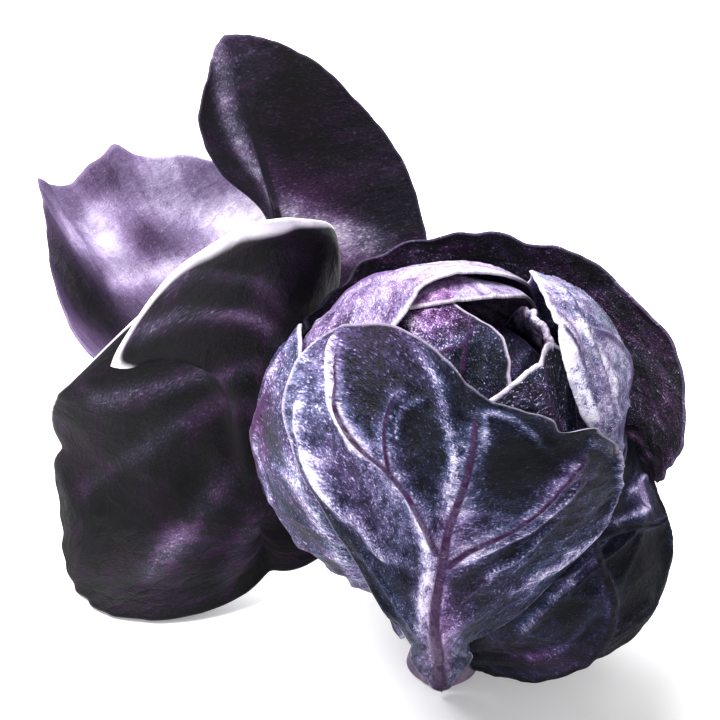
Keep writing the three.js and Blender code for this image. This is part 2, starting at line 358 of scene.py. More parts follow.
# A line on the leaf is a few points that a spline joins. How far every point is from it, in
# millimetres, and how far along it the nearest place is, from 0 to 1.
def nearLine(leaf, points, line):
    t = np.linspace(0, 1, lineSteps)
    path = bladePoint(leaf, *(along(values, t) for values in zip(*line))) * headRadius / mm
    nearest = np.linalg.norm(points[:, None] - path[None], axis=2).argmin(1)
    distance = np.minimum(toSegment(points, path, nearest - 1), toSegment(points, path, nearest))
    return distance, nearest / len(path)


veinTaper = 0.55
flankWidth = 4


# Veins are dark cords with swollen flanks, which get thinner on their way. Ridges are the pale folds
# beside them: frosted with bloom, and with a painted highlight.
def veinFields(leaf, place):
    points = place.reshape(-1, 3)
    core, flank, frost = np.zeros((3, len(points)))
    for line, width, strength in leaf["veins"]:
        distance, gone = nearLine(leaf, points, line)
        thin = width * (1 - veinTaper * gone)
        fade = strength * smoothStep(1 - gone, 0, 0.2)
        core = np.maximum(core, fade * np.exp(-(distance / thin) ** 2))
        flank = np.maximum(flank, fade * np.exp(-(distance / (flankWidth * thin)) ** 2))
    for line, width, strength in leaf.get("ridges", ()):
        distance, gone = nearLine(leaf, points, line)
        fade = strength * smoothStep(gone, 0, 0.2) * smoothStep(1 - gone, 0, 0.25)
        frost = np.maximum(frost, fade * np.exp(-(distance / width) ** 2))
    return [field.reshape(place.shape[:2]) for field in (core, flank, frost)]


# A midrib, and side veins that leave it in pairs and bend towards the tip.
def feather(pairs, start, end, width, strength, sweep=0.35, midrib=True):
    veins = [([(-1, 0), (-0.5, 0), (0, 0), (0.5, 0), (0.93, 0)], width * 1.7, 1.0)] if midrib else []
    for k in range(pairs):
        x = start + (end - start) * k / (pairs - 1)
        out = math.sqrt(max(1 - (x + sweep) ** 2, 0.05)) * 0.86
        for hand in (-1, 1):
            line = [(x, 0), (x + sweep * 0.35, hand * out * 0.38), (x + sweep * 0.8, hand * out * 0.75),
                    (x + sweep, hand * out)]
            veins.append((line, width, strength))
    return veins


leafThickness = 0.5
marginThinning = 0.35
plainRim = [0.35] * 8
thinnestRim = 0.05
plainSwell = 0.25
justInside = 0.99


def meshObject(name, points, faces, smooth=True):
    mesh = bpy.data.meshes.new(name)
    mesh.from_pydata(points, [], faces)
    mesh.polygons.foreach_set("use_smooth", [smooth] * len(mesh.polygons))
    made = bpy.data.objects.new(name, mesh)
    bpy.context.scene.collection.objects.link(made)
    return made


def addField(mesh, name, values):
    if values.ndim == 1:
        mesh.attributes.new(name, "FLOAT", "POINT").data.foreach_set("value", values)
    else:
        mesh.attributes.new(name, "FLOAT_VECTOR", "POINT").data.foreach_set("vector", values.ravel())


# How strongly the pale rim shows, a pale edge with a painted highlight.
def rimField(leaf, middle, x, y):
    n = len(middle)
    scale = np.linalg.norm(np.gradient(middle, axis=0), axis=-1)
    scale = np.maximum(scale, np.linalg.norm(np.gradient(middle, axis=1), axis=-1))
    toMargin = (1 - np.hypot(x, y)) * (n - 1) / 2 * scale / mm
    width = np.maximum(around(leaf.get("rimWidth", plainRim), np.arctan2(y, x)), thinnestRim)
    return np.exp(-(toMargin / width) ** 2) * np.minimum(width / plainRim[0], 1)


# Places along the blade in millimetres, for patterns that follow it.
def placeField(middle, x, y):
    halfWay = len(middle) // 2
    rows = np.linalg.norm(np.diff(middle[:, halfWay], axis=0), axis=1).sum() / mm / 2
    columns = np.linalg.norm(np.diff(middle[halfWay], axis=0), axis=1).sum() / mm / 2
    return np.stack([x * rows, y * columns, 0 * x], -1)


# Soft round spots on the leaf, used for blush and for tone with painted light and shade.
def spotField(spots, x, y):
    total = 0 * x
    for px, py, size, amount in spots:
        total = total + amount * np.exp(-((x - px) ** 2 + (y - py) ** 2) / size ** 2)
    return total


# Two nets of n by n points, back to back, joined by a lip of points round the edge.
def sheetFaces(n, ri, rj):
    count = n * n
    grid = np.arange(count).reshape(n, n)
    quads = np.stack([grid[:-1, :-1], grid[1:, :-1], grid[1:, 1:], grid[:-1, 1:]], -1).reshape(-1, 4)
    edge = grid[ri, rj]
    lip = 2 * count + np.arange(len(edge))
    nextEdge, nextLip = np.roll(edge, -1), np.roll(lip, -1)
    return np.concatenate([
        quads, quads[:, ::-1] + count,
        np.stack([nextEdge, edge, lip, nextLip], -1),
        np.stack([nextLip, lip, edge + count, nextEdge + count], -1),
    ])


# Two faces and a rounded rim between them, over a square net drawn into a disc.
def leafMesh(leaf):
    n = leaf["net"]
    a, b = np.meshgrid(np.linspace(-1, 1, n), np.linspace(-1, 1, n), indexing="ij")
    x, y = a * np.sqrt(1 - b * b / 2), b * np.sqrt(1 - a * a / 2)
    middle = sheetPoint(leaf, x, y) * headRadius
    normal = bladeNormal(sheetPoint, leaf, x, y)
    core, flank, frost = veinFields(leaf, middle / mm)
    half = leafThickness / 2 * mm * (1 - marginThinning * np.hypot(x, y) ** 6)
    swell = leaf.get("ribSwell", plainSwell) * mm * core
    front = middle + normal * half[..., None]
    back = middle - normal * (half + swell)[..., None]

    ring = [(i, 0) for i in range(n)] + [(n - 1, j) for j in range(1, n)]
    ring += [(i, n - 1) for i in range(n - 2, -1, -1)] + [(0, j) for j in range(n - 2, 0, -1)]
    ri, rj = np.array(ring).T
    inside = sheetPoint(leaf, x[ri, rj] * justInside, y[ri, rj] * justInside) * headRadius
    lip = middle[ri, rj] + unit(middle[ri, rj] - inside) * half[ri, rj][:, None]
    points = np.concatenate([front.reshape(-1, 3), back.reshape(-1, 3), lip])
    made = meshObject(leaf["node"] + "_blade", points.tolist(), sheetFaces(n, ri, rj).tolist())

    fields = {
        "sheetNormal": normal, "sheetPlace": placeField(middle, x, y),
        "vein": core, "flank": flank, "frost": frost, "rim": rimField(leaf, middle, x, y),
        # Spots of tone with painted highlights and painted shade.
        "toneAndPaintedLight": spotField(leaf.get("patches", ()), x, y),
        "blush": spotField(leaf.get("blushes", ()), x, y),
    }
    for name, values in fields.items():
        face = values.reshape(n * n, *values.shape[2:])
        addField(made.data, name, np.concatenate([face, face, values[ri, rj]]))
    return made


# What a leaf's relief is where its own doesn't say otherwise, with lengths in millimetres.
plainRelief = dict(
    veinHeight=0.3, flankShare=0.45, ridgeHeight=0.35, puckerSize=5, puckerDepth=0.25,
    cellSize=3, cellDepth=0.12,
)


def named(graph, name, kind="FLOAT"):
    return graph.node("GeometryNodeInputNamedAttribute", {"data_type": kind}, {"Name": name})


seedStep = 17.0
cellMiddle = 0.45


# Raises veins, ridges and puckers outwards, which is against the sheet's normal. It keeps the height as
# `lift`, which the finish uses for painted light and shade.
def leafReliefTree():
    tree = bpy.data.node_groups.new("leafRelief", "GeometryNodeTree")
    graph = Graph(tree)
    numbers = dict.fromkeys([*plainRelief, "seed"], "Float")
    for name, kind in ({"Geometry": "Geometry"} | numbers | {"Finish": "Material"}).items():
        tree.interface.new_socket(name=name, in_out="INPUT", socket_type="NodeSocket" + kind)
    tree.interface.new_socket(name="Geometry", in_out="OUTPUT", socket_type="NodeSocketGeometry")
    entry = tree.nodes.new("NodeGroupInput")
    given = {socket.name: Wire(graph, socket) for socket in entry.outputs if socket.name}
    vein, flank, rim = named(graph, "vein"), named(graph, "flank"), named(graph, "rim")
    ridge = named(graph, "frost") * given["ridgeHeight"]
    place = named(graph, "sheetPlace", "FLOAT_VECTOR")
    normal = named(graph, "sheetNormal", "FLOAT_VECTOR")
    shifted = graph.node("ShaderNodeCombineXYZ", (), {"Z": given["seed"] * seedStep})
    where = graph.node("ShaderNodeVectorMath", {"operation": "ADD"}, {0: place, 1: shifted})
    pucker = graph.noise(where, 1.0 / given["puckerSize"], 2.5, 0.5, 0.3)
    cells = graph.node("ShaderNodeTexVoronoi", {"feature": "SMOOTH_F1"}, {
        "Vector": where, "Scale": 1.0 / given["cellSize"], "Smoothness": 0.6, "Randomness": 0.9})
    calm = (1.0 - rim) * (1.0 - 0.75 * flank)
    rise = given["veinHeight"] * (vein + given["flankShare"] * flank)
    waves = given["puckerDepth"] * 2.0 * (pucker - 0.5) * (1.0 - 0.6 * rim)
    quilt = given["cellDepth"] * 2.0 * (cellMiddle - cells) * calm
    lift = rise + ridge - waves - quilt
    # The height is kept for the finish's painted light and shade.
    kept = graph.node("GeometryNodeStoreNamedAttribute", {"data_type": "FLOAT", "domain": "POINT"}, {
        "Geometry": given["Geometry"], "Name": "lift", "Value": lift})
    offset = graph.node("ShaderNodeVectorMath", {"operation": "SCALE"}, {0: normal, "Scale": lift * -mm})
    moved = graph.node("GeometryNodeSetPosition", (), {"Geometry": kept, "Offset": offset})
    dressed = graph.node("GeometryNodeSetMaterial", (), {"Geometry": moved, "Material": given["Finish"]})
    graph.node("NodeGroupOutput", (), {0: dressed})
    return tree


# Gives the object the mesh that its tree makes, so that no modifier is left on it.
def applyTree(source, tree, values, finish):
    modifier = source.modifiers.new("relief", "NODES")
    modifier.node_group = tree
    for item in tree.interface.items_tree:
        if item.in_out == "INPUT" and item.name in values:
            modifier[item.identifier] = float(values[item.name])
        if item.in_out == "INPUT" and item.name == "Finish":
            modifier[item.identifier] = finish
    evaluated = source.evaluated_get(bpy.context.evaluated_depsgraph_get())
    mesh = bpy.data.meshes.new_from_object(evaluated)
    mesh.name = source.name
    source.modifiers.remove(modifier)
    old = source.data
    source.data = mesh
    bpy.data.meshes.remove(old)


# Each finish runs from its deepest shade, at 0, to its palest bloom, at 1.
slateTones = ((0.0, "04060e"), (0.2, "151a2c"), (0.4, "313857"), (0.58, "686a90"), (0.76, "a9a4c6"),
              (1.0, "eae6f8"))
purpleTones = ((0.0, "07050b"), (0.2, "1e1526"), (0.4, "443650"), (0.58, "7c6c90"), (0.76, "b6a8ca"),
               (1.0, "f0e8f6"))
darkTones = ((0.0, "030304"), (0.25, "0d0c11"), (0.45, "221f2b"), (0.65, "4a4459"), (0.82, "8d84a2"),
             (1.0, "d8d0e4"))
magentaTones = ((0.0, "0b0410"), (0.2, "2a0f31"), (0.4, "582a60"), (0.58, "8c5b98"), (0.76, "c49dce"),
                (1.0, "f4e4f6"))
# For crown leaves that the top light falls on: their own pale colour, with painted light.
paleAndLitTones = ((0.0, "150e20"), (0.2, "4b3d62"), (0.4, "8a7aa6"), (0.6, "b6a8ca"), (0.8, "d9d0e6"),
             (1.0, "f8f4fb"))


# How fine each pattern of a leaf is, in waves a millimetre.
patternScale = dict(
    clouds=0.16, wash=0.3, net=0.62, mottle=0.8, bend=0.9, streaks=1.1, speckle=3.0, fine=6.0,
)


def startFinish(name):
    material = bpy.data.materials.new(name)
    material.use_nodes = True
    return material, Graph(material.node_tree)


def endFinish(graph, inputs):
    shader = graph.node("ShaderNodeBsdfPrincipled", (), inputs)
    graph.node("ShaderNodeOutputMaterial", (), {"Surface": shader})


def leafFinish(name, look):
    material, graph = startFinish(name)
    place = graph.attribute("sheetPlace", "Vector")
    vein, flank = graph.attribute("vein"), graph.attribute("flank")
    rim, toneAndPaintedLight, frost = graph.attribute("rim"), graph.attribute("toneAndPaintedLight"), graph.attribute("frost")
    offset = look["seed"]
    shift = graph.node("ShaderNodeMapping", (), {
        "Vector": place, "Location": (offset, 3 * offset, offset)})

    clouds = graph.noise(shift, patternScale["clouds"], 4.0, 0.6, 0.4) - 0.5
    mottle = graph.noise(shift, patternScale["mottle"], 5.0, 0.68, 0.5) - 0.5
    speckle = graph.noise(shift, patternScale["speckle"], 3.0, 0.75)
    fine = graph.noise(shift, patternScale["fine"], 2.0, 0.6) - 0.5
    stretched = graph.node("ShaderNodeMapping", (), {"Vector": shift, "Scale": (0.12, 1.0, 1.0)})
    streaks = graph.noise(stretched, patternScale["streaks"], 4.0, 0.6, 0.3) - 0.5
    bend = graph.node("ShaderNodeTexNoise", (), {"Vector": shift, "Scale": patternScale["bend"]}, 1)
    edges = graph.node("ShaderNodeTexVoronoi", {"feature": "DISTANCE_TO_EDGE"}, {
        "Vector": graph.mix(0.15, shift, bend), "Scale": patternScale["net"]})
    net = 1.0 - edges.smooth(0.0, 0.16)

    # The level picks the tone: patterns, then painted light and shade by the relief's height and a
    # painted rim highlight, then vein flanks with bloom and painted sheen, and spots of tone with
    # painted light and shade, then ridges with bloom and a painted highlight.
    salt = speckle.smooth(0.52, 0.74)
    level = look["base"] + look["clouds"] * clouds + look["mottle"] * mottle + look["streak"] * streaks
    level = level + look["grain"] * (0.4 * salt - 0.08 + 0.8 * fine) + look["net"] * net
    # Painted light and shade by the relief's height, and a painted highlight on the rim.
    level = level + look["lift"] * graph.attribute("lift") + 0.1 * rim
    # Pale vein flanks: bloom, with a painted sheen.
    level = level + look["bloom"] * flank * (1.0 + 1.6 * mottle) + toneAndPaintedLight * (1.0 + 1.2 * mottle)
    fleck = look["fleck"] * (2.6 * mottle + 2.0 * fine)
    level = (level + look["frost"] * frost * (0.8 + fleck)).clamped()
    wash = graph.noise(shift, patternScale["wash"], 3.0, 0.6, 0.6).smooth(0.42, 0.62)
    blush = (look["blush"] * wash + graph.attribute("blush")).clamped()
    colour = graph.mix(blush, graph.ramp(level, look["tones"]), graph.ramp(level, look["blushTones"]))

    veinMask = (vein.smooth(0.25, 0.75) * (0.9 + 1.2 * mottle)).clamped()
    colour = graph.mix(veinMask, colour, tint(look["vein"]))
    # The pale rim: a pale edge with a painted highlight on it.
    paleRimAndHighlightMask = (rim.smooth(0.35, 0.95) * look["rimPale"] * (0.9 + 1.2 * mottle + 1.2 * clouds)).clamped()
    colour = graph.mix(paleRimAndHighlightMask, colour, tint(look["rim"]))

    roughness = (look["rough"] + 0.3 * (speckle - 0.5) + 0.3 * mottle).clamped()
    height = 0.6 * speckle + 0.5 * fine + 0.3 * net + 0.9 * mottle
    bump = graph.node("ShaderNodeBump", (), {
        "Height": height, "Strength": look["bump"], "Distance": 0.3 * mm})
    endFinish(graph, {
        "Base Color": colour, "Roughness": roughness, "Normal": bump, "Specular IOR Level": 0.12})
    return material


# What a leaf's finish is where its own look doesn't say otherwise.
# `lift` sets how strongly the relief's height paints light and shade.
plainLook = dict(
    tones=slateTones, blushTones=magentaTones, blush=0.5, vein="43184c", rim="d9cbe6", rimPale=0.5,
    base=0.2, clouds=0.4, mottle=0.6, grain=0.8, streak=0.1, net=0.05, lift=0.3, bloom=0.25,
    frost=0.6, fleck=1, rough=0.5, bump=0.9,
)

reliefTree = leafReliefTree()


# Makes a leaf, with what its look changes in the plain one.
def dress(leaf, finishName, **changes):
    finish = leafFinish(finishName, plainLook | {"seed": leaf["seed"]} | changes)
    made = leafMesh(leaf)
    applyTree(made, reliefTree, plainRelief | {"seed": leaf["seed"]} | leaf["relief"], finish)
    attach(made, "root")
    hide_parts(leaf["node"])
    print(made.name, len(made.data.polygons) * 2, "triangles")


# Lists with stations along a leaf start at its foot, and a pair of them is for its two hands, -y
# first. Lists with stations round it start at the tip and go towards +y: `reach` moves the margin
# in or out, `hem` rolls it over by so many degrees, and `rimWidth` is the pale rim, with its painted
# highlight, in millimetres.
# The items of the other lists are, in this order:
# - lobes: degrees round from the tip, height, width. pleats: the same place, overlap, height, width
# - scallops and ruffles: height, waves, seed. bumps: height, x, y, width
# - veins and ridges: line, width in millimetres, strength
# - spots of tone and painted light (paler or darker: painted highlights and painted shade, with some
#   real tone) and blushes: x, y, size, amount
fineTeeth = (0.004, 43, 2)  # scallops that many leaves share

# The opened outer leaves
topLeaf = dict(
    node="outer_leaf_top", slot="outer_leaf", net=120, seed=3,
    base=[0, 0.38, 0.08], length=3.66,
    pitch=[3, 30, 58, 57], yaw=[100, 125, 124, 124], twist=[0, 1, 3, 4],
    side=[[0.3, 0.43, 0.9, 1.07], [0.2, 0.12, *[0.1] * 8, 0.42, 0.62, 0.46]],
    cup=[[0.7, 0.8, 0.88, 0.95], [0.7, 0.8, 0.9, 0.89]],
    reach=[1.05, 1, 1.01, 0.96, 0.95, 1, 1, 0.97],
    scallops=[(0.006, 11, 4), fineTeeth], ruffles=[(0.012, 9, 5)],
    veins=feather(5, -0.5, 0.6, 0.6, 0.2, 0.4),
    # The pale patches and the ridge paint highlights: a lit strip, and the far left leaf's highlighted
    # band carried onto this leaf's lower part.
    patches=[(0.98, 0.15, 0.16, 0.25), (0.92, -0.1, 0.12, 0.15), (0.83, 0.26, 0.14, 0.2),
             (0.72, 0.24, 0.14, 0.28), (0.6, 0.15, 0.14, 0.28), (0.88, 0.42, 0.1, -0.15),
             (0.75, -0.3, 0.3, -0.1), (0.47, 0.08, 0.08, 0.3), (0.42, -0.12, 0.09, 0.34),
             (0.37, -0.26, 0.09, 0.34), (0.33, -0.4, 0.09, 0.34), (0.28, -0.56, 0.09, 0.3),
             (0.24, -0.72, 0.09, 0.2)],
    ridges=[
        ([(0.58, 0.25), (0.5, 0.03), (0.45, -0.13), (0.41, -0.26), (0.37, -0.38), (0.33, -0.52),
          (0.28, -0.7)], 1.8, 0.6),
    ],
    blushes=[(0.42, -0.12, 0.16, 0.25), (0.35, -0.35, 0.16, 0.25)],
    rimWidth=[0.2] * 8,
    relief=dict(veinHeight=0.2, puckerDepth=0.5, puckerSize=12, cellDepth=0),
)
dress(topLeaf, "hood leaf",
    tones=darkTones, vein="1b1620", rim="6c6580", base=0.36, mottle=0.25, clouds=0.3, grain=0.45, net=0,
    bloom=0.06, lift=-0.1, frost=0.5, fleck=0.2, blush=0.12, bump=0.35)

farLeftLeaf = dict(
    node="outer_leaf_far_left", slot="outer_leaf", net=120, seed=5,
    base=[-0.1, 0.31, 0.03], length=3.57,
    pitch=[3, 19, 32, 36], yaw=[109, 133, 151, 138], twist=[0, 0],
    side=[[0.3, 1, 1.4, 1.32, 1.22, 1.35, 1.46], [0.3, 0.1, 1.09, 0.38]],
    cup=[[0.4, 0.37, 0.39, 0.42], [0.3, 0.25, 0.8, 0.08]],
    reach=[1.06, 0.94, 1, 0.96, 0.88, 0.93, 1, 1.05],
    lobes=[(341, 0.04, 2.5), (334, -0.02, 5), (355, -0.06, 6), (6, 0.015, 3)],
    scallops=[(0.008, 12, 7), fineTeeth], ruffles=[(0.02, 8, 2)],
    veins=[
        ([(0.9, 0.16), (0.82, 0.12), (0.76, -0.12), (0.71, -0.43), (0.62, -0.7)], 0.9, 0.15),
    ] + feather(4, -0.6, 0.4, 0.6, 0.1, 0.3, midrib=False),
    ridges=[
        ([(0.92, -0.05), (0.86, -0.13), (0.76, -0.32), (0.65, -0.49), (0.51, -0.65),
          (0.4, -0.75)], 1.8, 0.5),
        ([(0.66, 0.15), (0.61, -0.01), (0.56, -0.22), (0.5, -0.42)], 1.5, 0.6),
    ],
    patches=[(0.82, 0.14, 0.09, 0.28), (0.76, -0.06, 0.1, 0.4), (0.9, -0.2, 0.1, -0.06),
             (0.84, -0.46, 0.14, 0.24), (0.5, -0.62, 0.2, 0.28), (0.35, -0.8, 0.2, 0.35),
             (0.66, -0.22, 0.08, -0.14), (0.55, -0.2, 0.1, 0.12), (0.77, 0.43, 0.18, -0.25),
             (0.64, 0.43, 0.18, -0.25), (0.54, 0.3, 0.16, -0.25)],
    rimWidth=[0.15] * 8,
    relief=dict(puckerDepth=0.7, puckerSize=11, cellDepth=0),
)
dress(farLeftLeaf, "far left leaf",
    tones=purpleTones, vein="5a4a70", rim="7d6a92", base=0.48, mottle=0.1, clouds=0.18, streak=0.2,
    grain=0.2, frost=0.5, net=0, lift=-0.15, bloom=0.05, fleck=0.2, blush=0.1, bump=0.3)

frontLeftLeaf = dict(
    node="outer_leaf_front_left", slot="outer_leaf", net=150, seed=2,
    base=[-0.14, 0.28, 0.12], length=2.58,
    pitch=[8, 17, 17, 11], yaw=[80, 188, 160, 153], twist=[0, -52, -60, -92],
    side=[[0.25, 0.95, 2.07, 0.6], [0.25, 0.1, 0.91, 1.36]],
    cup=[[0.4, 0.2, 0.53, 0.13], [0.4, 0.1, 0.63, 0.7]],
    reach=[1.03, 0.93, 0.97, 1.16, 1, 1.02, 0.98, 1.1],
    scallops=[(0.007, 13, 1), fineTeeth], ruffles=[(0.014, 9, 8)],
    veins=[
        ([(-0.8, 0), (-0.3, 0), (0, 0.05), (0.3, 0.2)], 0.8, 0.3),
    ],
    ridges=[
        ([(0.62, -0.9), (0.57, -0.82), (0.52, -0.81), (0.43, -0.73), (0.33, -0.67),
          (0.1, -0.5)], 1.1, 0.45),
        ([(0.66, -0.84), (0.58, -0.74), (0.5, -0.67), (0.4, -0.58), (0.27, -0.53),
          (0, -0.4)], 1.3, 0.6),
        ([(0.86, -0.4), (0.8, -0.28), (0.64, -0.28), (0.49, -0.3), (0.26, -0.4), (0, -0.3)], 1.4, 0.5),
        ([(0.85, 0.3), (0.75, 0.2), (0.62, -0.01), (0.46, -0.18), (0.23, -0.29), (0, -0.2)], 1.4, 0.4),
        ([(0.37, 0.65), (0.33, 0.53), (0.28, 0.31), (0.23, 0), (0.15, -0.16)], 1.6, 0.4),
        ([(0.1, 0.8), (0.05, 0.5), (0.03, 0.2), (0, -0.05)], 1.4, 0.35),
    ],
    patches=[(0.26, 0.36, 0.16, 0.2), (0.94, 0, 0.1, 0.15), (0.4, -0.45, 0.2, -0.1),
             (0.55, 0.3, 0.3, -0.06), (0.1, -0.4, 0.2, -0.1)],
    relief=dict(veinHeight=0.4, puckerDepth=0.7, puckerSize=9, cellDepth=0),
    # The wide near-white rim along the rolled hem is a painted highlight on its pale edge.
    rimWidth=[0.25, 0.15, *[0.1] * 8, 0.15, 0.2, 0.3, 2.8, 3.2, 0.7],
    hem=[20, 10, 5, 5, 5, 30, 45, 45], hemWidth=2.4,
    pleats=[(320, 14, 0.2, 8)], lobes=[(315, -0.2, 7), (8, -0.04, 3)],
)
dress(frontLeftLeaf, "front left leaf",
    tones=darkTones, vein="1a1420", rim="efe8f4", rimPale=1, base=0.19, mottle=0.2, clouds=0.35,
    grain=0.4, streak=0.2, net=0, lift=-0.15, bloom=0.08, frost=0.95, fleck=0.2, blush=0.2, bump=0.35)

backLeaf = dict(
    node="outer_leaf_back", slot="outer_leaf", net=120, seed=7,
    turn=63, skew=2, foot=150, top=63, layer=1.2,
    side=[[50, 44, 68, 79], [50, 55, 75, 88]], rise=[0.02, 0, 0.01, 0.24],
    reach=[0.86, 0.96, 1, 1, 1, 1, 1.03, 1.03], rimWidth=[0.25] * 8,
    scallops=[(0.016, 17, 3), (0.013, 41, 2)], ruffles=[(0.016, 13, 6), (0.006, 31, 2)],
    veins=feather(6, -0.5, 0.6, 0.6, 0.5, 0.35),
    relief=dict(puckerDepth=0.35, puckerSize=6, cellDepth=0.1),
)
dress(backLeaf, "collar leaf",
    tones=darkTones, vein="231830", rim="6b6082", base=0.33, mottle=0.9, grain=0.9, bloom=0.12,
    blush=0.25)

# The wrapper leaves
rightLeaf = dict(
    node="wrapper_leaf_right", slot="wrapper_leaf", net=130, seed=4,
    turn=-37, skew=-14, foot=147, top=70, layer=0.985,
    side=[[50, 60, 60, 45], [50, 40, 61, 27]], rise=[0.04, -0.04, -0.04, 0.02],
    reach=[1, 1, 0.8, 0.96, 1, 1, 1, 1], bumps=[(0.58, -0.27, 0.26, 0.6)],
    scallops=[(0.01, 14, 5), fineTeeth], ruffles=[(0.008, 11, 3)],
    veins=[
        ([(-0.9, -0.5), (-0.36, -0.43), (0.17, -0.32), (0.35, -0.12), (0.39, 0.14),
          (0.3, 0.41)], 0.6, 0.8),
        ([(-0.9, -0.4), (-0.38, -0.22), (-0.1, -0.14), (0, 0.04), (0.05, 0.25)], 0.6, 0.7),
        ([(-0.6, -0.5), (0.32, -0.38), (0.44, -0.11), (0.49, 0.12)], 0.5, 0.6),
        # This dark line paints the crease shade of a fold.
        ([(0.57, 0.03), (0.51, 0.13), (0.37, 0.26), (0.25, 0.37), (0.14, 0.54)], 0.45, 1),
    ] + feather(5, -0.7, 0.5, 0.45, 0.3),
    ridges=[
        ([(0, -0.4), (0.18, -0.33), (0.32, -0.24), (0.4, -0.12), (0.47, 0.05)], 0.7, 0.8),
        ([(-0.5, -0.4), (-0.31, -0.26), (-0.1, -0.17), (0.16, -0.06)], 0.6, 0.4),
        # The first two ridges paint the highlight on the fold's turned edge.
        ([(0.58, 0.14), (0.48, 0.24), (0.36, 0.36), (0.26, 0.48)], 0.4, 1),
        ([(0.5, 0.34), (0.46, 0.46), (0.38, 0.56), (0.3, 0.6)], 0.3, 0.8),
    ],
    # The first two pale patches paint light on the fold's flap.
    patches=[(0.44, 0.44, 0.12, 0.42), (0.32, 0.48, 0.1, 0.36), (0.24, 0.2, 0.14, -0.12)],
    blushes=[(-0.25, -0.2, 0.2, 0.5), (0.4, 0.45, 0.15, 0.2)],
    relief=dict(veinHeight=0.7, flankShare=0.3, puckerDepth=0.9, cellDepth=0.2),
)
dress(rightLeaf, "right leaf",
    vein="0d0812", rim="8d86a6", base=-0.02, grain=0.6, bloom=0.1, frost=0.4, fleck=0.5, blush=0.15,
    rough=0.75)

leftLeaf = dict(
    node="wrapper_leaf_left", slot="wrapper_leaf", net=120, seed=6,
    turn=186, skew=0, foot=152, top=58, layer=1,
    side=[[8, 8, 8, 8, 45, 60], [50, 60, 72, 78, 74, 70]], rise=[0, -0.11, -0.12, -0.06, 0.01, 0.02],
    reach=[1] * 8, bumps=[(0.02, 0, -0.3, 0.5)],
    scallops=[(0.008, 12, 2), fineTeeth], ruffles=[(0.006, 10, 4)],
    veins=feather(6, -0.6, 0.6, 0.5, 0.5),
    ridges=[
        ([(0.75, 0.2), (0.64, 0.42), (0.45, 0.61), (0.2, 0.67), (-0.05, 0.71), (-0.3, 0.75)], 1.1, 0.9),
        ([(0.9, -0.2), (0.7, -0.1), (0.5, -0.05), (0.3, 0.1), (0, 0.4)], 0.9, 0.6),
    ],
    patches=[(0.6, 0.05, 0.16, -0.22), (0.28, 0.42, 0.16, -0.25), (0, 0.62, 0.12, -0.25),
             (0.84, 0, 0.12, 0.15)],
    blushes=[(0.6, 0, 0.2, 0.5)],
    relief=dict(veinHeight=0.35, puckerDepth=0.4, puckerSize=4),
)
dress(leftLeaf, "left leaf",
    vein="43204e", rim="e6dff0", base=0.33, mottle=0.9, clouds=0.6, grain=0.9, bloom=0.15, frost=0.3,
    blush=0.35)

